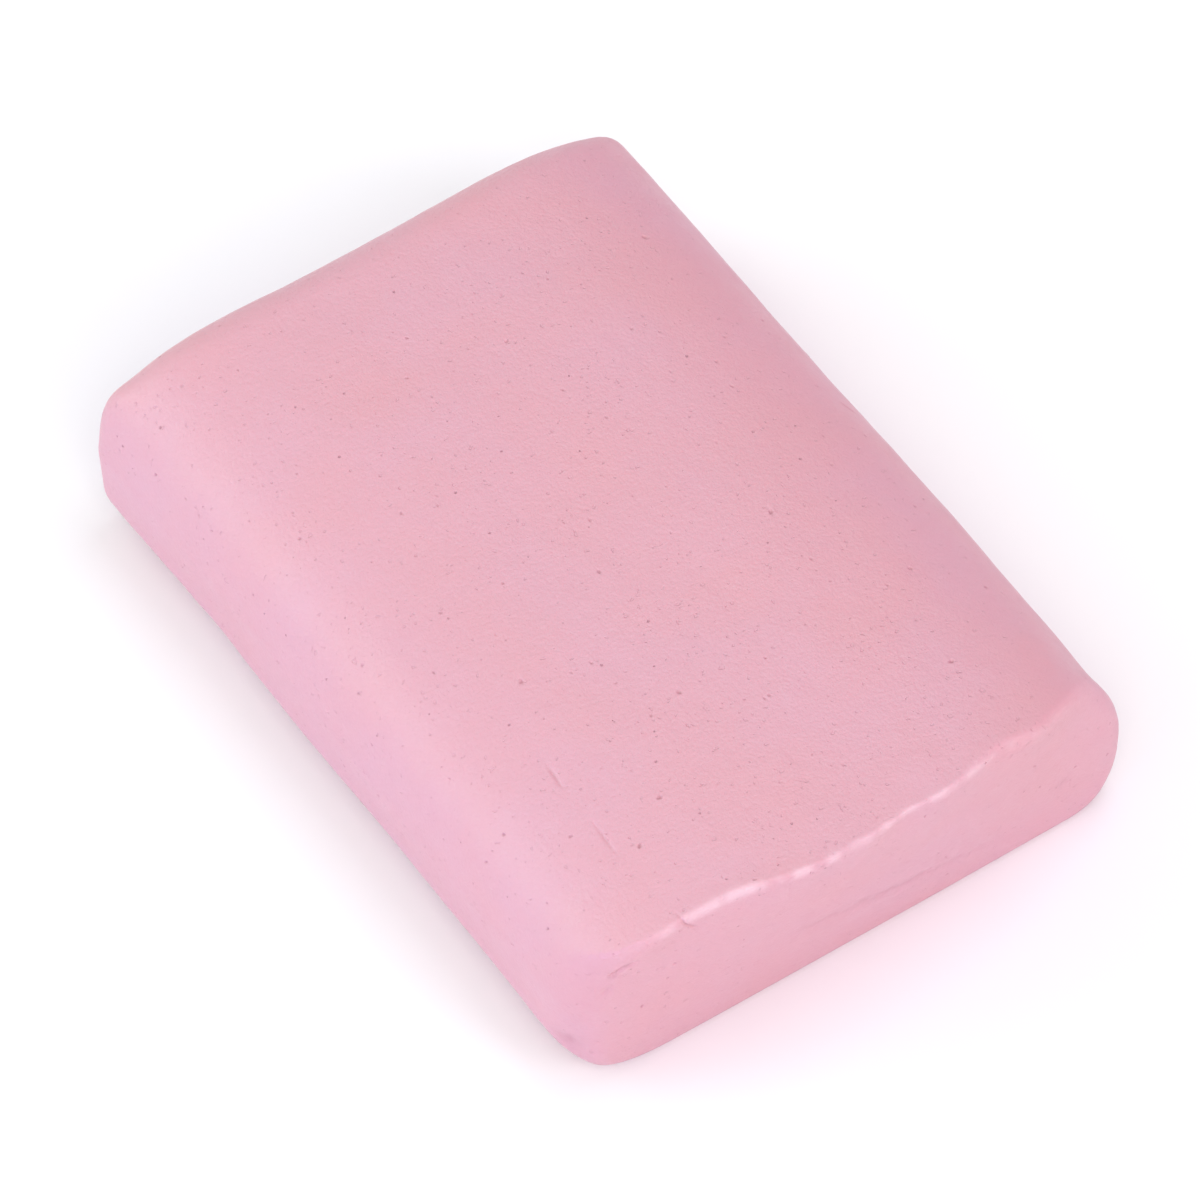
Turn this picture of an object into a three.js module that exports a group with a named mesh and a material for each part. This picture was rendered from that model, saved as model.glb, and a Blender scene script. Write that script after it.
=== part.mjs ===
// A detailing clay bar: one solid block of soft putty, cut from an extruded strip.
// Millimetres, +Z up. The strip's length runs along Y, its width along X, and it lies on Z = 0.
// The origin is under the middle of the bar. The front cut faces -Y and the back cut faces +Y.
import * as THREE from "three";

// The strip.
const WIDTH = 50;
const THICKNESS = 19.5;
const SIDE_LENGTH = 66; // along a long side, from one cut's corner to the other's

// The strip's section has a crowned top, which rolls over into the long sides, and a flat
// underside between two rounded heels. Each round is part of a superellipse: a power above 2
// is squarer than an ellipse.
const CROWN = { width: WIDTH / 2, height: 12.5, power: 3.2, segments: 40 };
const HEEL = { width: 7, height: 5.5, power: 2, segments: 8 };

// The cuts. The middle of the soft strip moves on a little as it is cut, so the front cut's top
// edge swells out past its corners and the back cut's top edge sinks in. Both are straight below.
const FRONT_BOW = 4.5;
const BACK_DISH = 1.5;
const CUT_ROUND = 0.8; // rounding of the edges that the cuts leave
const CUT_ROUND_SEGMENTS = 3;
const LENGTH_SEGMENTS = 12;

const CLAY_COLOUR = 0xe7b1bf;
const CLAY_ROUGHNESS = 0.55;

const FULL_TURN = 2 * Math.PI;

// A power of the size of a number, with the number's own sign.
function signedPower(value, power) {
  return Math.sign(value) * Math.abs(value) ** power;
}

// Adds one round to the outline, about its middle, from one share of a turn to another.
function addRound(outline, round, middleX, middleZ, fromTurn, toTurn) {
  for (let i = 0; i <= round.segments; i += 1) {
    const turn = THREE.MathUtils.lerp(fromTurn, toTurn, i / round.segments);
    const reachX = signedPower(Math.cos(FULL_TURN * turn), 2 / round.power);
    const reachZ = signedPower(Math.sin(FULL_TURN * turn), 2 / round.power);
    const x = middleX + round.width * reachX;
    const z = middleZ + round.height * reachZ;
    outline.push(new THREE.Vector2(x, z));
  }
}

// The strip's section, counter-clockwise from the widest point on the right.
function stripSection() {
  const heelX = WIDTH / 2 - HEEL.width;
  const outline = [];
  addRound(outline, CROWN, 0, THICKNESS - CROWN.height, 0, 0.5);
  addRound(outline, HEEL, -heelX, HEEL.height, 0.5, 0.75);
  addRound(outline, HEEL, heelX, HEEL.height, 0.75, 1);
  return new THREE.Shape(outline);
}

// How far the cuts have moved along the strip at a point, as a share of their full bow:
// nothing at the underside or the corners, all of it in the middle of the top edge.
function bowShare(x, z) {
  const across = (2 * x) / WIDTH;
  return (1 - across * across) * (z / THICKNESS);
}

function clayBarGeometry() {
  const geometry = new THREE.ExtrudeGeometry(stripSection(), {
    depth: SIDE_LENGTH - 2 * CUT_ROUND,
    steps: LENGTH_SEGMENTS,
    bevelEnabled: true,
    bevelThickness: CUT_ROUND,
    bevelSize: CUT_ROUND,
    bevelOffset: -CUT_ROUND,
    bevelSegments: CUT_ROUND_SEGMENTS,
  });
  // Lay the extrusion along Y, with its middle over the origin.
  geometry.translate(0, 0, CUT_ROUND - SIDE_LENGTH / 2);
  geometry.rotateX(FULL_TURN / 4);

  // Bow the two cuts, fading along the strip.
  const position = geometry.getAttribute("position");
  for (let i = 0; i < position.count; i += 1) {
    const y = position.getY(i);
    const nearFront = 0.5 - y / SIDE_LENGTH;
    const shift = -FRONT_BOW * nearFront - BACK_DISH * (1 - nearFront);
    position.setY(i, y + shift * bowShare(position.getX(i), position.getZ(i)));
  }
  geometry.computeVertexNormals();

  // Centre the bowed length on the origin.
  geometry.computeBoundingBox();
  const { min, max } = geometry.boundingBox;
  geometry.translate(0, -(min.y + max.y) / 2, 0);
  return geometry;
}

const clay = new THREE.MeshStandardMaterial({
  color: CLAY_COLOUR,
  roughness: CLAY_ROUGHNESS,
  metalness: 0,
});
const clayBar = new THREE.Mesh(clayBarGeometry(), clay);
clayBar.name = "clay_bar";

const bar = new THREE.Group();
bar.add(clayBar);

export default bar;
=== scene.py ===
"""A bar of detailing clay on a pale floor: one sculpted piece stands for the CAD solid."""
import math

import bmesh
import bpy
import numpy as np
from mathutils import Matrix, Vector, kdtree, noise


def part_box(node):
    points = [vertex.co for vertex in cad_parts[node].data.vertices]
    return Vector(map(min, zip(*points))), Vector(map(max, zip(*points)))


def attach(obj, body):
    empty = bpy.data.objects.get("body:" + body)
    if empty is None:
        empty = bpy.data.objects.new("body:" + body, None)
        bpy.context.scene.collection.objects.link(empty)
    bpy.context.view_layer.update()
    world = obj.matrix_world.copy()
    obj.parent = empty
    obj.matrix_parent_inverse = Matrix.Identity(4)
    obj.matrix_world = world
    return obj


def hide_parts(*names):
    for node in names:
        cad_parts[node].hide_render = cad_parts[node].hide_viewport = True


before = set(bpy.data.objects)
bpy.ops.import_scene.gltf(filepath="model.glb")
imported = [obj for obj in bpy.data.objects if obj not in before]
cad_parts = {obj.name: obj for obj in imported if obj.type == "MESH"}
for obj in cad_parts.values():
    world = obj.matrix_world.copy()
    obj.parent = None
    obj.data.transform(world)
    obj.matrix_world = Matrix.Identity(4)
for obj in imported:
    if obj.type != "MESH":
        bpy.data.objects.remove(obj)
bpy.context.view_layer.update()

NODE = "clay_bar"
LOW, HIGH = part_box(NODE)

# The sculpting is done in millimetres and the finished mesh is scaled to metres.
MM = 0.001
WIDTH = (HIGH.x - LOW.x) / MM
THICKNESS = (HIGH.z - LOW.z) / MM

# The strip, as in the CAD: a crowned top over two rounded heels, and bowed cuts at its ends.
# The soft block is not quite even, so its left and right sides differ a little.
SIDE_LENGTH = 66.0
CROWN_POWER = 3.2
LEFT_CROWN_HEIGHT = 11.8
RIGHT_CROWN_HEIGHT = 13.5
LEFT_HEEL = (8.6, 5.0)  # width and height
RIGHT_HEEL = (5.4, 5.8)
FRONT_BOW = 4.5
BACK_DISH = 1.7
BOW_POWER = 1.6
BACK_LEAN = 0.09  # slope of the back cut: its top reaches further out than its foot
SIDE_LEAN = -0.055  # slope of the whole section: its top leans to the left
FRONT_WIDENING = 0.008  # share by which the front is wider than the middle, and the back narrower

# The left flank ends in a soft edge that waves a little along the strip. The shoulder above it
# is set in, over a short spread, and the whole side stands out a little.
FLANK_TOP = 9.8
FLANK_WAVE = 0.5
FLANK_WAVE_SIZE = 7.0
SHOULDER_SET_IN = 0.3
SHOULDER_SPREAD = 1.1
FLANK_STANDS_OUT = 0.03

# Rounding of the edges round each cut, by which way the strip's side faces there: how far it
# cuts in across the section, and how far it reaches along the strip.
FRONT_ROUNDS = {
    "top": (0.95, 0.5),
    "left": (3.0, 3.8),
    "right": (1.5, 1.6),
    "under": (0.75, 0.75),
}
BACK_ROUNDS = {
    "top": (3.4, 3.4),
    "left": (1.4, 1.6),
    "right": (1.2, 1.4),
    "under": (1.2, 1.2),
}
ROUND_BLEND_POWER = 4  # how suddenly one side's rounding gives way to the next side's

# Across this span the front cut's top edge softens to the right: its rounding grows by a share.
SOFTENED_FROM = 6.0
SOFTENED_TO = 18.0
SOFTENING = 1.3

# The mesh: quads across the top, up a side, along the strip and round the edge of a cut.
TOP_QUADS = 108
SIDE_QUADS = 30
LENGTH_QUADS = 104
ROUND_QUADS = 8
END_CROWDING = 0.45  # how much closer together the rows are near the cuts
OUTLINE_STEPS = 2000  # in each quarter of the section's dense outline
SAME_PLACE = 1e-6  # outline points closer than this count as one

# The surface's unevenness, as pairs of wavelength and height, fading out near the floor.
UNEVENNESS = ((16.0, 0.12), (6.0, 0.04), (2.2, 0.014))
FLAT_BELOW = 3.0
SEED_OFFSET = (17.3, 5.9, 11.1)  # from one seed's noise to the next one's

# The front cut's top edge wanders slowly and is finely ragged. For each: how far it strays,
# over what distance along the edge, and how far from the edge the straying is felt.
EDGE_WANDER = 0.55
EDGE_WANDER_SIZE = 7.0
EDGE_WANDER_REACH = 2.5
EDGE_RAGS = 0.09
EDGE_RAG_SIZES = (2.3, 0.8)
EDGE_RAG_REACH = 0.4
EDGE_REACH = 5.0  # nothing done to the edge reaches further than this

# The edge stands up as a thin smeared lip with a trough behind it. Its height varies with the
# place across the strip, in millimetres from the middle, and the smear on it is patchy. The smear
# makes the edge shinier, and its colour is lightened there as a painted highlight.
LIP_HEIGHT = 0.075
LIP_WIDTH = 0.4
LIP_VARIATION = 0.4
LIP_VARIATION_SIZE = 3.0
LIP_STRENGTH = (
    (-25, 0), (-20, 0.2), (-15, 0.9), (-11, 1.1), (-4, 0.7),
    (3, 0.75), (7, 0.9), (10, 0.6), (14, 0.25), (18, 0.1), (22, 0),
)
TROUGH_DEPTH = 0.45  # as a share of the lip's height
TROUGH_BEHIND = 1.5
TROUGH_WIDTH = 0.8
SMEAR_AND_HIGHLIGHT_WIDTH = 0.42
SMEAR_AND_HIGHLIGHT_PATCH_SIZE = 1.1
SMEAR_AND_HIGHLIGHT_COVER = 0.65  # the smear and painted highlight's usual strength, and how far the patches swing it
SMEAR_AND_HIGHLIGHT_PATCHINESS = 0.7

# Marks that handling has left: a line of points on the surface, then its depth, width, and the
# painted shade in its hollow.
# Each tapers off towards its ends, but stays even within this share of its length of an end.
MARK_TAPER = 0.04
MARK_STEP = 0.5  # between a mark's points when it is laid on the surface
CREASES = (
    (((2.3, 8, 19.5), (2.2, -4, 19.5), (2.3, -22, 19.5)), 0.02, 0.3, 0),
    (((-16.4, -8, 18.6), (-16.9, -17, 18.5), (-17.4, -25, 18.3)), 0.035, 0.35, 0),
    (((-13.0, -0.6, 19.1), (-10.4, -0.8, 19.3), (-7.8, -1.2, 19.4)), 0.05, 0.4, 0),
    (((-6.4, 7.7, 19.5), (-6.1, 5.0, 19.5), (-7.6, 0.6, 19.4)), 0.04, 0.5, 0),
    (((-8.0, -32.7, 9.0), (2.5, -32.3, 6.3), (13.0, -31.5, 4.1)), 0.23, 0.36, 0),
)
SCRATCHES = (
    (((-16.8, -15.4, 18.3), (-17.1, -17.6, 18.2)), 0.14, 0.15, 0.08),
    (((-17.0, -21.6, 18.3), (-17.2, -24.8, 18.3)), 0.12, 0.14, 0.08),
    (((-22.2, -31.4, 13.7), (-21.3, -31.7, 14.6), (-20.3, -32.1, 15.1)), 0.32, 0.24, 0.15),
    (((-22.8, -31.2, 11.6), (-22.0, -31.5, 12.6)), 0.18, 0.28, 0.1),
    (((-16.7, -32.1, 18.5), (-16.5, -32.9, 17.9), (-15.4, -33.1, 16.8)), 0.17, 0.13, 0.2),
    (((22.3, 2.5, 15.1), (22.8, 1.4, 14.4)), 0.08, 0.1, 0.6),
)

# Broad hollows (negative) and swellings: place, height, width, and the painted shade in the hollow.
DENTS = (
    ((-24.4, -29.2, 4.9), -0.5, 0.9, 0.5),
    ((23.6, -27.5, 13.5), -0.35, 3.0, 0),
    ((24.0, -32.0, 9.0), 0.35, 3.0, 0),
    ((19.5, -31.2, 6.6), -0.12, 0.5, 0.15),
)

# Pits: the largest ones, and many small ones scattered by a seeded draw.
LARGE_PITS = (
    (10.0, -5.9, 19.2),
    (17.8, 22.4, 17.7),
    (-14.3, -8.2, 18.9),
    (13.4, -24.7, 18.8),
    (-12.0, -23.1, 19.2),
    (-15.5, -25.6, 18.7),
    (-5.4, -16.1, 19.5),
)
LARGE_PIT_WIDTH = 0.17
PIT_COUNT = 150
PIT_WIDTHS = (0.07, 0.13)
PIT_DEPTH = 0.75  # as a share of a pit's width
PIT_BEND = 0.11  # how far a pit's outline strays from round, and over what distance
PIT_BEND_SIZE = 0.22
PIT_BEND_OFFSET = (3.1, 7.7, 5.3)
PIT_RIM = 0.2  # height of the rim pushed up round a pit, as a share of its depth
PIT_RIM_PLACE = 1.8  # how far from the pit's middle the rim is, and its spread, in pit widths
PIT_RIM_SPREAD = 0.6
PIT_SEED = 7

# How far each halving of the mesh reaches from the small marks, and from the lip.
MARK_REFINEMENT = (0.65, 0.4, 0.22)
LIP_REFINEMENT = (1.3, 0.5)
REFINEMENT_STEP = 0.3  # between the points of a line that a halving is measured from

# Colours, and the material's scales in millimetres.
WARM_PINK = (0.700, 0.355, 0.405, 1)
COOL_PINK = (0.690, 0.365, 0.433, 1)
# The deep pink is both the mottle's own tone and the painted shade in the pocks.
MOTTLE_AND_POCK_SHADE_PINK = (0.65, 0.29, 0.36, 1)
# The darkest pink is the painted shade in the pits, specks and other hollows.
PIT_SHADE_PINK = (0.40, 0.14, 0.18, 1)
# A painted highlight: the pale pink laid along the smeared front edge.
PAINTED_HIGHLIGHT_PINK = (0.94, 0.74, 0.79, 1)
SPECK_SPACING = 1.7
SPECK_RADIUS = 0.14
WOBBLE_SIZE = 0.3  # the specks' and pocks' outlines wobble over this distance, by this much
WOBBLE = 0.12
POCK_SIZE = 0.45
GRAIN_SIZE = 0.3
RELIEF = 0.105  # height that a full step of the bump pattern stands for
ROUGHNESS_RANGE = (0.41, 0.51)
SMEARED_ROUGHNESS = 0.40
REFRACTIVE_INDEX = 1.62
SCATTER_SHARE = 0.12  # the light that wanders under the surface, and how far each colour gets
SCATTER_DEPTH = 1.0
SCATTER_COLOURS = (1.0, 0.4, 0.45)

# The studio, in metres: a near-white floor, and a soft surround that turns duller and more mauve
# towards the right, from where a direction's X reaches a value.
FLOOR_SIDE = 6.0
FLOOR_WHITE = (0.95, 0.95, 0.95, 1)
FLOOR_ROUGHNESS = 0.9
SURROUND_LEFT = (0.67, 0.69, 0.67, 1)
SURROUND_RIGHT = (0.47, 0.19, 0.42, 1)
SURROUND_TURN = 0.4

# Square soft boxes facing the bar: azimuth from +X and elevation in degrees, side, brightness
# and colour.
BOX_DISTANCE = 0.9
BOXES = {
    "key": (240, 50, 0.38, 0.24, (1.0, 0.97, 0.87)),
    "shoulder": (140, 23, 0.68, 0.32, (0.86, 1.06, 0.97)),
    "left_fill": (195, 11, 0.38, 0.17, (0.56, 0.52, 1.6)),
    "front_fill": (295, 32, 0.38, 0.22, (0.97, 0.87, 1.0)),
    "right_top": (5, 76, 0.38, 0.16, (0.98, 1.06, 1.18)),
}

# The camera: its direction from the bar in degrees, azimuth 0 being the front, and its distance
# and lens in metres and millimetres.
CAMERA_AZIMUTH = -34.3
CAMERA_ELEVATION = 52.9
CAMERA_DISTANCE = 1.2
CAMERA_LENS = 474.5
AIM = Vector((-0.0012, 0.0006, 0.0096))  # what the camera looks at


# ------------------------------------------------------------------ the plain strip

def quarter(first_turn, width, height, power):
    """A quarter of a superellipse about its own middle, from a share of a full turn."""
    angle = 2 * math.pi * np.linspace(first_turn, first_turn + 0.25, OUTLINE_STEPS)
    cos, sin = np.cos(angle), np.sin(angle)
    x = width * np.sign(cos) * np.abs(cos) ** (2 / power)
    z = height * np.sign(sin) * np.abs(sin) ** (2 / power)
    return np.stack([x, z], 1)


def section_outline():
    """The strip's section as a dense closed outline, counter-clockwise from the right."""
    half = WIDTH / 2
    outline = np.concatenate([
        quarter(0, half, RIGHT_CROWN_HEIGHT, CROWN_POWER) + [0, THICKNESS - RIGHT_CROWN_HEIGHT],
        quarter(0.25, half, LEFT_CROWN_HEIGHT, CROWN_POWER) + [0, THICKNESS - LEFT_CROWN_HEIGHT],
        quarter(0.5, *LEFT_HEEL, 2) + [LEFT_HEEL[0] - half, LEFT_HEEL[1]],
        quarter(0.75, *RIGHT_HEEL, 2) + [half - RIGHT_HEEL[0], RIGHT_HEEL[1]],
    ])
    outline = np.concatenate([outline, outline[:1]])
    moves = np.linalg.norm(np.diff(outline, axis=0), axis=1)
    return outline[np.concatenate([[True], moves > SAME_PLACE])]


def ring():
    """Evenly spaced section points and their outward normals, from the lower right corner:
    up the right side, over the top, down the left side and back along the underside."""
    outline = section_outline()
    steps = np.diff(outline, axis=0)
    along = np.concatenate([[0], np.cumsum(np.linalg.norm(steps, axis=1))])
    total = along[-1]
    facing = np.unwrap(np.arctan2(steps[:, 1], steps[:, 0])) - math.pi / 2
    facing = np.interp(along, (along[1:] + along[:-1]) / 2, facing)
    turned = [np.interp(math.radians(a), facing, along) for a in (45, 135, 225, 315)]
    corners = [turned[3] - total, *turned]
    counts = (SIDE_QUADS, TOP_QUADS, SIDE_QUADS, TOP_QUADS)
    places = np.concatenate([
        np.linspace(a, b, n, endpoint=False)
        for a, b, n in zip(corners[:4], corners[1:], counts)
    ]) % total
    points = np.stack([np.interp(places, along, outline[:, i]) for i in (0, 1)], 1)
    angle = np.interp(places, along, facing)
    return points, np.stack([np.cos(angle), np.sin(angle)], 1)


def edge_rounding(normals, rounds):
    """Inset, and reach along the strip, of the cut edge's rounding at each ring point."""
    facing = {
        "right": np.clip(normals[:, 0], 0, 1),
        "left": np.clip(-normals[:, 0], 0, 1),
        "top": np.clip(normals[:, 1], 0, 1),
        "under": np.clip(-normals[:, 1], 0, 1),
    }
    weights = {side: facing[side] ** ROUND_BLEND_POWER for side in facing}
    total = sum(weights.values())
    sizes = sum((weights[side] / total)[:, None] * np.array(rounds[side]) for side in rounds)
    return sizes.T


def cap_grid(loop):
    """Fills a ring with a grid of rows and columns, blended in from its four sides."""
    n, m = TOP_QUADS, SIDE_QUADS
    closed = np.concatenate([loop, loop[:1]])
    right = closed[:m + 1]
    top = closed[m:m + n + 1][::-1]
    left = closed[m + n:2 * m + n + 1][::-1]
    under = closed[2 * m + n:]
    u = np.linspace(0, 1, n + 1)[:, None, None]
    v = np.linspace(0, 1, m + 1)[None, :, None]
    grid = (1 - v) * under[:, None] + v * top[:, None] + (1 - u) * left[None] + u * right[None]
    grid -= (1 - u) * (1 - v) * under[0] + u * (1 - v) * under[-1]
    grid -= (1 - u) * v * top[0] + u * v * top[-1]
    return grid


def ring_index(a, b):
    """Which ring point a cap's grid corner (a, b) is, or None inside the cap."""
    n, m = TOP_QUADS, SIDE_QUADS
    if a == n and b < m:
        return b
    if b == m and a > 0:
        return m + n - a
    if a == 0 and b > 0:
        return 2 * m + n - b
    if b == 0:
        return 2 * m + n + a
    return None


def strip_mesh():
    """Vertices and quads of the straight strip with rounded cut edges."""
    points, normals = ring()
    count = len(points)
    half = SIDE_LENGTH / 2

    def rounded_row(rounding, share, end):
        inset, reach = rounding
        angle = share * math.pi / 2
        cut_in = inset * (1 - math.cos(angle))
        along = reach * (1 - math.sin(angle))
        place = points - normals * cut_in[:, None]
        return np.stack([place[:, 0], end * (half - along), place[:, 1]], 1)

    to_right = np.clip((points[:, 0] - SOFTENED_FROM) / (SOFTENED_TO - SOFTENED_FROM), 0, 1)
    softer = 1 + SOFTENING * to_right * np.clip(normals[:, 1], 0, 1)
    front = edge_rounding(normals, FRONT_ROUNDS) * softer
    back = edge_rounding(normals, BACK_ROUNDS)
    round_shares = np.linspace(0, 1, ROUND_QUADS + 1)
    rows = [rounded_row(front, share, -1) for share in round_shares[::-1]]
    first, last = rows[-1][:, 1], rounded_row(back, 0, 1)[:, 1]
    shares = np.linspace(0, 1, LENGTH_QUADS + 1)[1:-1]
    shares = shares - END_CROWDING * np.sin(2 * math.pi * shares) / (2 * math.pi)
    for share in shares:
        y = (1 - share) * first + share * last
        rows.append(np.stack([points[:, 0], y, points[:, 1]], 1))
    rows += [rounded_row(back, share, 1) for share in round_shares]

    vertices = np.concatenate(rows)
    faces = []
    for i in range(len(rows) - 1):
        row, following = i * count, (i + 1) * count
        for j in range(count):
            k = (j + 1) % count
            faces.append((row + j, following + j, following + k, row + k))

    for row, end in ((0, -1), (len(rows) - 1, 1)):
        grid = cap_grid(rows[row])
        index = np.empty(grid.shape[:2], int)
        inner = []
        for a in range(TOP_QUADS + 1):
            for b in range(SIDE_QUADS + 1):
                at = ring_index(a, b)
                if at is None:
                    index[a, b] = len(vertices) + len(inner)
                    inner.append(grid[a, b])
                else:
                    index[a, b] = row * count + at
        vertices = np.concatenate([vertices, inner])
        for a in range(TOP_QUADS):
            for b in range(SIDE_QUADS):
                quad = (index[a, b], index[a + 1, b], index[a + 1, b + 1], index[a, b + 1])
                faces.append(quad if end < 0 else quad[::-1])
    return vertices, faces


# ------------------------------------------------------------------ the sculpting

def bow_and_lean(points):
    """Bows and leans the cuts, shapes the left flank, leans the section and centres the length."""
    x, y, z = points.T
    bowed = (1 - np.abs(2 * x / WIDTH) ** BOW_POWER) * z / THICKNESS
    near_front = 0.5 - y / SIDE_LENGTH
    near_back = 1 - near_front
    above_middle = z - THICKNESS / 2
    y = y - (FRONT_BOW * near_front + BACK_DISH * near_back) * bowed
    y = y + BACK_LEAN * near_back * above_middle
    flank_wave = FLANK_WAVE * np.sin(y / FLANK_WAVE_SIZE)
    above_flank = np.maximum(z - FLANK_TOP - flank_wave, 0) / SHOULDER_SPREAD
    set_in = SHOULDER_SET_IN * (1 - np.exp(-above_flank)) - FLANK_STANDS_OUT
    x = x + set_in * np.clip(-2 * x / WIDTH, 0, 1) ** 2
    x = x * (1 + FRONT_WIDENING * (near_front - near_back)) + SIDE_LEAN * above_middle
    y = y - (y.min() + y.max()) / 2
    return np.stack([x, y, z], 1)


def strip_ridge(vertices):
    """The line along the front cut's top edge, from right to left, in a bowed strip's vertices."""
    count = 2 * (TOP_QUADS + SIDE_QUADS)
    start = ROUND_QUADS // 2 * count + SIDE_QUADS
    return vertices[start:start + TOP_QUADS + 1]


def points_along(line, spacing):
    """Points on a polyline, no further apart than the spacing."""
    made = []
    for start, end in zip(line[:-1], line[1:]):
        start, end = Vector(start), Vector(end)
        steps = max(1, math.ceil((end - start).length / spacing))
        made += [start.lerp(end, i / steps) for i in range(steps + 1)]
    return made


def refined(vertices, faces, near, passes):
    """Halves the faces within each pass's distance of some points, to hold finer marks. The
    edges are kept in the order of the faces, so that the mesh comes out the same every time."""
    mesh = bmesh.new()
    for vertex in vertices:
        mesh.verts.new(vertex)
    mesh.verts.ensure_lookup_table()
    for face in faces:
        mesh.faces.new([mesh.verts[i] for i in face])
    tree = kdtree.KDTree(len(near))
    for i, point in enumerate(near):
        tree.insert(point, i)
    tree.balance()
    for distance in passes:
        chosen = [f for f in mesh.faces if tree.find(f.calc_center_median())[2] < distance]
        edges = list(dict.fromkeys(edge for face in chosen for edge in face.edges))
        bmesh.ops.subdivide_edges(mesh, edges=edges, cuts=1, use_grid_fill=True)
    mesh.verts.index_update()
    split_vertices = np.array([vertex.co for vertex in mesh.verts])
    split_faces = [tuple(vertex.index for vertex in face.verts) for face in mesh.faces]
    mesh.free()
    return split_vertices, split_faces


def normals_of(vertices, faces):
    mesh = bpy.data.meshes.new("scratch")
    mesh.from_pydata(vertices.tolist(), [], faces)
    normals = np.empty(3 * len(vertices))
    mesh.vertex_normals.foreach_get("vector", normals)
    bpy.data.meshes.remove(mesh)
    return normals.reshape(-1, 3)


def swell(points, wavelength, seed):
    """Smooth noise between about -1 and 1, by wavelength in millimetres."""
    offset = Vector([seed * part for part in SEED_OFFSET])
    return np.array([noise.noise(Vector(p) / wavelength + offset) for p in points]) * 2


def line_distance(points, line):
    """Each point's distance to a polyline, and its nearest place's share of the way along."""
    best = np.full(len(points), np.inf)
    along = np.zeros(len(points))
    walked = 0.0
    for start, end in zip(line[:-1], line[1:]):
        step = end - start
        length = np.linalg.norm(step) + 1e-9
        share = np.clip((points - start) @ step / length**2, 0, 1)
        distance = np.linalg.norm(points - start - share[:, None] * step, axis=1)
        nearer = distance < best
        best[nearer] = distance[nearer]
        along[nearer] = walked + share[nearer] * length
        walked += length
    return best, along / walked


def hump(distance, width):
    """A smooth bump of height 1 that has fallen to about a third at its width."""
    return np.exp(-((distance / width) ** 2))


def scattered_pits(vertices, faces):
    """Small pits at random places above the floor, as pairs of place and width."""
    corners = vertices[np.array(faces)]
    centres = corners.mean(1)
    diagonals = corners[:, 2] - corners[:, 0], corners[:, 3] - corners[:, 1]
    areas = np.linalg.norm(np.cross(*diagonals), axis=1) * (centres[:, 2] > FLAT_BELOW)
    draw = np.random.default_rng(PIT_SEED)
    chosen = draw.choice(len(faces), PIT_COUNT, p=areas / areas.sum(), replace=False)
    return list(zip(centres[chosen], draw.uniform(*PIT_WIDTHS, PIT_COUNT)))


def marks(vertices, pits):
    """How far each vertex is pushed in or out by the marks, and how much painted shade darkens it.
    """
    lift = np.zeros(len(vertices))
    painted_shade = np.zeros(len(vertices))
    tree = kdtree.KDTree(len(vertices))
    for i, vertex in enumerate(vertices):
        tree.insert(vertex, i)
    tree.balance()
    for line, depth, width, line_shade in CREASES + SCRATCHES:
        on_surface = [tree.find(point)[0] for point in points_along(line, MARK_STEP)]
        distance, along = line_distance(vertices, np.array(on_surface))
        taper = np.sqrt(np.sin(math.pi * np.clip(along, MARK_TAPER, 1 - MARK_TAPER)))
        hollow = hump(distance, width) * taper
        lift -= depth * hollow
        painted_shade = np.maximum(painted_shade, line_shade * hollow)
    for place, height, width, dent_shade in DENTS:
        mask = hump(np.linalg.norm(vertices - tree.find(place)[0], axis=1), width)
        lift += height * mask
        painted_shade = np.maximum(painted_shade, dent_shade * mask)
    offset = Vector(PIT_BEND_OFFSET)
    bend = [noise.noise_vector(Vector(v) / PIT_BEND_SIZE + offset) for v in vertices]
    bent = vertices + PIT_BEND * np.array(bend)
    # Each pit sinks in with a rim round it, and painted shade darkens its hollow.
    for place, width in pits:
        distance = np.linalg.norm(bent - tree.find(place)[0], axis=1)
        hollow = np.exp(-((distance / width) ** 4))  # flatter at the bottom than a hump
        rim = hump(distance - PIT_RIM_PLACE * width, PIT_RIM_SPREAD * width)
        lift -= PIT_DEPTH * width * (hollow - PIT_RIM * rim)
        painted_shade = np.maximum(painted_shade, hollow)
    return lift, painted_shade


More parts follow.
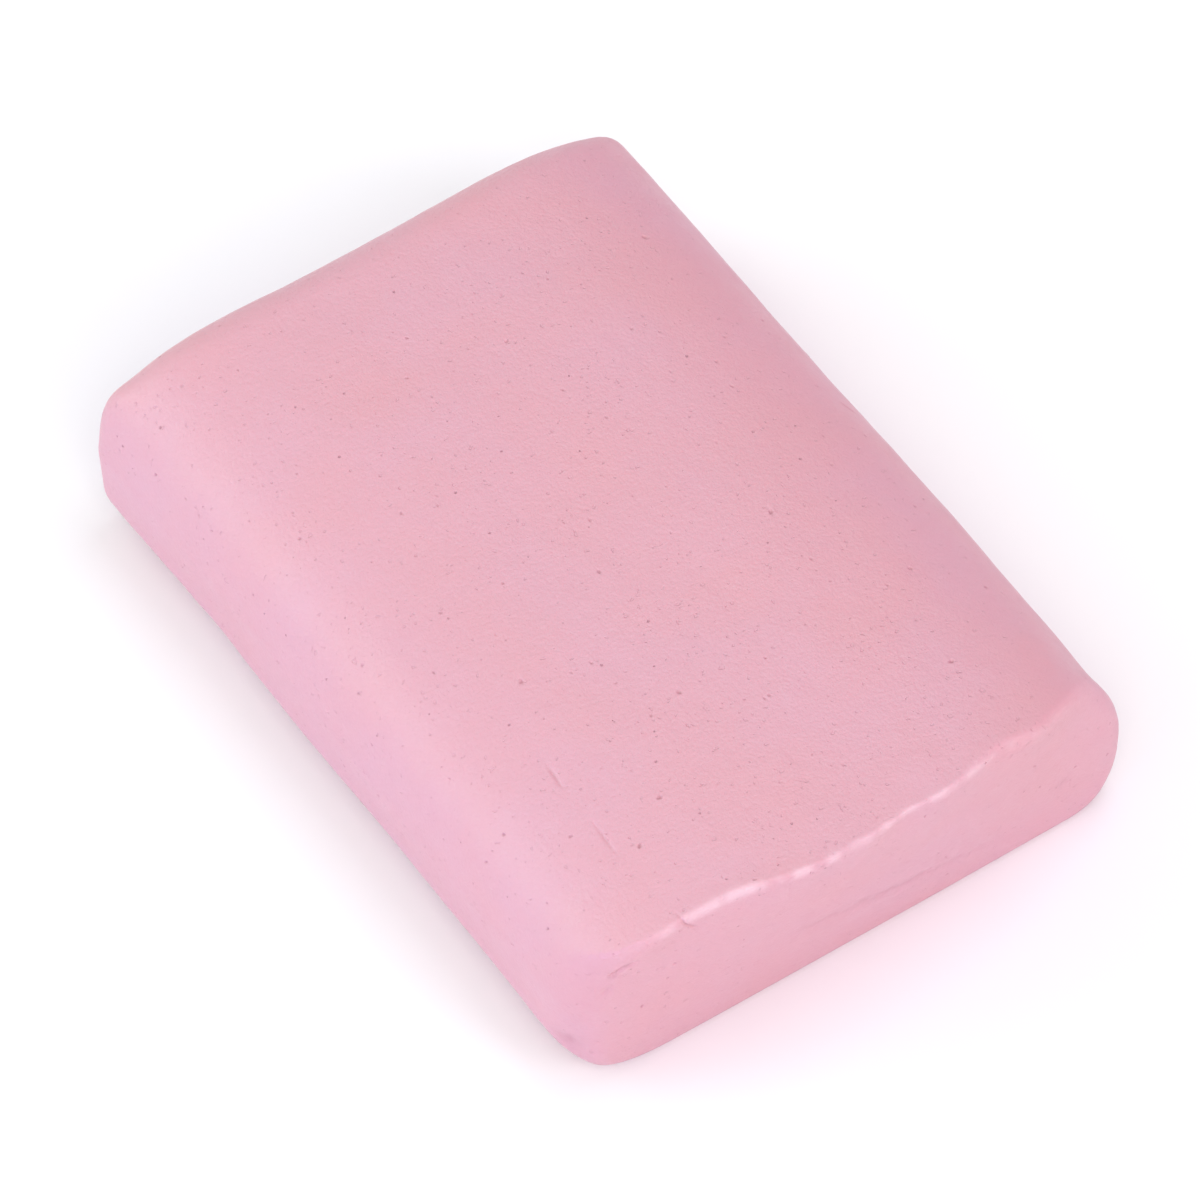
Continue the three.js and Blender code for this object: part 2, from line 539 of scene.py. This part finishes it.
def ragged_edge(vertices, ridge):
    """The front edge's shift forward and upward at each vertex, and how smeared it is there, which
    also sets its painted highlight.
    """
    forward, upward, smear_and_highlight = np.zeros((3, len(vertices)))
    distance, along = line_distance(vertices, ridge)
    near = distance < EDGE_REACH
    distance, along, reached = distance[near], along[near], vertices[near]
    across = np.interp(along, np.linspace(0, 1, len(ridge)), ridge[:, 0])
    places = np.stack([across, 0 * across, 0 * across], 1)
    strength = np.interp(across, *np.array(LIP_STRENGTH).T)
    wander = swell(places, EDGE_WANDER_SIZE, seed=31)
    rags = swell(places, EDGE_RAG_SIZES[0], seed=32) + swell(places, EDGE_RAG_SIZES[1], seed=34) / 2
    forward[near] = EDGE_WANDER * wander * hump(distance, EDGE_WANDER_REACH)
    forward[near] += EDGE_RAGS * rags * hump(distance, EDGE_RAG_REACH)
    behind = reached[:, 1] > np.interp(across, ridge[::-1, 0], ridge[::-1, 1])
    trough = TROUGH_DEPTH * hump(distance - TROUGH_BEHIND, TROUGH_WIDTH) * behind
    variation = 1 + LIP_VARIATION * swell(places, LIP_VARIATION_SIZE, seed=33)
    upward[near] = LIP_HEIGHT * strength * variation * (hump(distance, LIP_WIDTH) - trough)
    patches = SMEAR_AND_HIGHLIGHT_PATCHINESS * swell(places, SMEAR_AND_HIGHLIGHT_PATCH_SIZE, seed=35)
    patchy = np.clip(SMEAR_AND_HIGHLIGHT_COVER + patches, 0, 1)
    smear_and_highlight[near] = np.clip(strength, 0, 1) * patchy * hump(distance, SMEAR_AND_HIGHLIGHT_WIDTH)
    return forward, upward, smear_and_highlight


def sculpted(vertices, faces, ridge, pits):
    """The block with its unevenness, ragged front edge and marks, its painted shade in the hollows,
    and its smear with its painted highlight.
    """
    lift, painted_shade = marks(vertices, pits)
    off_floor = np.clip(vertices[:, 2] / FLAT_BELOW, 0, 1)
    for seed, (wavelength, height) in enumerate(UNEVENNESS):
        lift += height * swell(vertices, wavelength, seed + 1) * off_floor
    points = vertices + normals_of(vertices, faces) * lift[:, None]
    forward, upward, smear_and_highlight = ragged_edge(vertices, ridge)
    points[:, 1] -= forward
    points[:, 2] = np.maximum(points[:, 2] + upward, 0)
    return points, painted_shade, smear_and_highlight


# ------------------------------------------------------------------ the material

class Pattern:
    """Small helpers for building one material's node tree."""

    def __init__(self, material):
        material.use_nodes = True
        self.tree = material.node_tree
        self.link = self.tree.links.new
        self.shader = self.tree.nodes["Principled BSDF"]
        self.place = self.add("ShaderNodeTexCoord").outputs["Object"]

    def add(self, kind, inputs=(), **settings):
        """A node with its settings, and its inputs linked or set to plain values."""
        node = self.tree.nodes.new(kind)
        for name, value in settings.items():
            setattr(node, name, value)
        for name, value in dict(inputs).items():
            self.feed(node.inputs[name], value)
        return node

    def feed(self, socket, value):
        if isinstance(value, bpy.types.NodeSocket):
            self.link(value, socket)
        else:
            socket.default_value = value

    def noise(self, size, detail=2.0, vector=None):
        """Noise with features of a size in millimetres."""
        inputs = {"Vector": vector or self.place, "Scale": 1 / (size * MM), "Detail": detail}
        return self.add("ShaderNodeTexNoise", inputs).outputs["Fac"]

    def ramp(self, value, low, high, to_low=0.0, to_high=1.0):
        """Maps low to to_low and high to to_high, and holds those values beyond them."""
        inputs = {
            "Value": value, "From Min": low, "From Max": high, "To Min": to_low, "To Max": to_high
        }
        return self.add("ShaderNodeMapRange", inputs).outputs["Result"]

    def combine(self, operation, first, second):
        node = self.add("ShaderNodeMath", operation=operation)
        self.feed(node.inputs[0], first)
        self.feed(node.inputs[1], second)
        return node.outputs[0]

    def mix(self, share, first, second):
        """A colour part of the way from the first to the second."""
        node = self.add("ShaderNodeMix", data_type="RGBA")
        colours = [socket for socket in node.inputs if socket.type == "RGBA"]
        self.feed(node.inputs["Factor"], share)
        self.feed(colours[0], first)
        self.feed(colours[1], second)
        return next(socket for socket in node.outputs if socket.type == "RGBA")

    def attribute(self, name):
        return self.add("ShaderNodeAttribute", attribute_name=name).outputs["Fac"]


def clay_material():
    """Soft pink putty: a waxy body colour with a faint mottle, dark specks and a fine grain, with
    painted shade in its pits and hollows, and a painted highlight along its front edge.
    """
    material = bpy.data.materials.new("clay")
    pattern = Pattern(material)
    shader = pattern.shader
    painted_shade = pattern.attribute("painted_shade")
    smear_and_highlight = pattern.attribute("smear_and_highlight")

    # Specks: tiny pits, each cell with one of its own size or none, darkened by painted shade.
    wobbling = {"Vector": pattern.place, "Scale": 1 / (WOBBLE_SIZE * MM)}
    wobble = pattern.add("ShaderNodeTexNoise", wobbling)
    bent = pattern.add("ShaderNodeVectorMath", operation="MULTIPLY_ADD")
    pattern.feed(bent.inputs[0], wobble.outputs["Color"])
    bent.inputs[1].default_value = (WOBBLE * MM,) * 3
    pattern.feed(bent.inputs[2], pattern.place)
    cells = {"Vector": bent.outputs["Vector"], "Scale": 1 / (SPECK_SPACING * MM)}
    cell = pattern.add("ShaderNodeTexVoronoi", cells)
    chance = pattern.add("ShaderNodeSeparateColor", {"Color": cell.outputs["Color"]}).outputs["Red"]
    radius = pattern.ramp(chance, 0.35, 1.0, 0.0, SPECK_RADIUS / SPECK_SPACING)
    speck = pattern.ramp(cell.outputs["Distance"], radius, pattern.combine("MULTIPLY", radius, 0.45))

    # Pocks: shallow irregular hollows where the surface has torn a little.
    rarity = pattern.ramp(pattern.noise(7, 1.0), 0.35, 0.65, -0.01, 0.02)
    tearing = pattern.noise(POCK_SIZE, 1.0, bent.outputs["Vector"])
    pitting = pattern.combine("ADD", tearing, rarity)
    pock = pattern.ramp(pitting, 0.305, 0.235)

    # Body colour: two pinks in broad soft patches, a finer mottle, painted shade in the pocks,
    # specks and marks, and a painted highlight on the smeared front edge.
    patches = pattern.ramp(pattern.noise(11, 3), 0.35, 0.65)
    colour = pattern.mix(patches, WARM_PINK, COOL_PINK)
    mottle = pattern.ramp(pattern.noise(1.4, 3), 0.48, 0.75, 0, 0.09)
    colour = pattern.mix(mottle, colour, MOTTLE_AND_POCK_SHADE_PINK)
    # Painted shade in the pocks' hollows.
    colour = pattern.mix(pattern.combine("MULTIPLY", pock, 0.1), colour, MOTTLE_AND_POCK_SHADE_PINK)
    # Painted shade in the tiny speck pits.
    colour = pattern.mix(pattern.combine("MULTIPLY", speck, 0.5), colour, PIT_SHADE_PINK)
    # Painted shade in the hollows of the pits, scratches and dents.
    colour = pattern.mix(pattern.combine("MULTIPLY", painted_shade, 0.5), colour, PIT_SHADE_PINK)
    # Painted highlight: the smeared front edge is lightened towards a pale pink.
    colour = pattern.mix(pattern.combine("MULTIPLY", smear_and_highlight, 0.42), colour, PAINTED_HIGHLIGHT_PINK)
    pattern.link(colour, shader.inputs["Base Color"])

    # Gloss: it comes and goes with handling, and the blade has smeared the front edge shiny.
    rough = pattern.ramp(pattern.noise(3.0, 4), 0.3, 0.7, *ROUGHNESS_RANGE)
    rough = pattern.ramp(smear_and_highlight, 0.0, 1.0, rough, SMEARED_ROUGHNESS)
    pattern.link(rough, shader.inputs["Roughness"])

    # Relief: a fine grain, with the pocks and specks sunk into it.
    grain = pattern.combine("MULTIPLY", pattern.noise(GRAIN_SIZE, 3.0), 0.65)
    broad = pattern.combine("MULTIPLY", pattern.noise(1.1, 2.0), 0.5)
    relief = pattern.combine("ADD", grain, broad)
    relief = pattern.combine("SUBTRACT", relief, pattern.combine("MULTIPLY", pock, 0.45))
    relief = pattern.combine("SUBTRACT", relief, pattern.combine("MULTIPLY", speck, 0.8))
    bump = pattern.add("ShaderNodeBump", {"Height": relief, "Distance": RELIEF * MM})
    pattern.link(bump.outputs["Normal"], shader.inputs["Normal"])

    shader.inputs["IOR"].default_value = REFRACTIVE_INDEX
    shader.inputs["Subsurface Weight"].default_value = SCATTER_SHARE
    shader.inputs["Subsurface Radius"].default_value = SCATTER_COLOURS
    shader.inputs["Subsurface Scale"].default_value = SCATTER_DEPTH * MM
    return material


# ------------------------------------------------------------------ the pieces and the scene

def make_object(name, vertices, faces, material):
    mesh = bpy.data.meshes.new(name)
    mesh.from_pydata(vertices.tolist(), [], faces)
    mesh.polygons.foreach_set("use_smooth", [True] * len(mesh.polygons))
    mesh.materials.append(material)
    made = bpy.data.objects.new(name, mesh)
    bpy.context.scene.collection.objects.link(made)
    return made


def clay_block():
    vertices, faces = strip_mesh()
    vertices = bow_and_lean(vertices)
    ridge = strip_ridge(vertices)
    pits = [(place, LARGE_PIT_WIDTH) for place in LARGE_PITS] + scattered_pits(vertices, faces)
    fine = [place for place, _ in pits]
    for line, *_ in SCRATCHES:
        fine += points_along(line, REFINEMENT_STEP)
    lip = points_along(ridge, REFINEMENT_STEP)
    vertices, faces = refined(vertices, faces, lip, LIP_REFINEMENT)
    vertices, faces = refined(vertices, faces, fine, MARK_REFINEMENT)
    points, painted_shade, smear_and_highlight = sculpted(vertices, faces, ridge, pits)
    block = make_object("clay_block", points * MM, faces, clay_material())
    for name, values in (("painted_shade", painted_shade), ("smear_and_highlight", smear_and_highlight)):
        block.data.attributes.new(name, "FLOAT", "POINT").data.foreach_set("value", values)
    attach(block, "root")
    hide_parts(NODE)
    return block


def floor():
    corners = np.array([[-1, -1, 0], [1, -1, 0], [1, 1, 0], [-1, 1, 0]]) * FLOOR_SIDE / 2
    material = bpy.data.materials.new("floor")
    material.use_nodes = True
    shader = material.node_tree.nodes["Principled BSDF"]
    shader.inputs["Base Color"].default_value = FLOOR_WHITE
    shader.inputs["Roughness"].default_value = FLOOR_ROUGHNESS
    plane = make_object("floor", corners, [(0, 1, 2, 3)], material)


def lights():
    world = bpy.data.worlds.new("studio")
    world.use_nodes = True
    tree = world.node_tree
    direction = tree.nodes.new("ShaderNodeTexCoord").outputs["Generated"]
    parts = tree.nodes.new("ShaderNodeSeparateXYZ")
    blend = tree.nodes.new("ShaderNodeValToRGB")
    turn = tree.nodes.new("ShaderNodeMapRange")
    turn.inputs["From Min"].default_value = SURROUND_TURN
    blend.color_ramp.elements[0].color = SURROUND_LEFT
    blend.color_ramp.elements[1].color = SURROUND_RIGHT
    tree.links.new(direction, parts.inputs[0])
    tree.links.new(parts.outputs["X"], turn.inputs["Value"])
    tree.links.new(turn.outputs["Result"], blend.inputs["Fac"])
    tree.links.new(blend.outputs["Color"], tree.nodes["Background"].inputs["Color"])
    bpy.context.scene.world = world
    for name, (azimuth, elevation, side, brightness, colour) in BOXES.items():
        a, e = math.radians(azimuth), math.radians(elevation)
        towards = Vector((math.cos(a) * math.cos(e), math.sin(a) * math.cos(e), math.sin(e)))
        lamp = bpy.data.lights.new(name, "AREA")
        lamp.size = side
        lamp.energy = brightness * (math.pi * BOX_DISTANCE) ** 2
        lamp.color = colour
        box = bpy.data.objects.new(name, lamp)
        box.location = towards * BOX_DISTANCE
        box.rotation_euler = towards.to_track_quat("Z", "Y").to_euler()
        bpy.context.scene.collection.objects.link(box)


def camera():
    a, e = math.radians(CAMERA_AZIMUTH), math.radians(CAMERA_ELEVATION)
    back = Vector((math.sin(a) * math.cos(e), -math.cos(a) * math.cos(e), math.sin(e)))
    data = bpy.data.cameras.new("camera")
    data.lens = CAMERA_LENS
    data.clip_end = 10
    made = bpy.data.objects.new("camera", data)
    made.location = AIM + back * CAMERA_DISTANCE
    made.rotation_euler = (-back).to_track_quat("-Z", "Y").to_euler()
    bpy.context.scene.collection.objects.link(made)
    bpy.context.scene.camera = made


bpy.context.scene.view_settings.view_transform = "Standard"
clay_block()
floor()
lights()
camera()
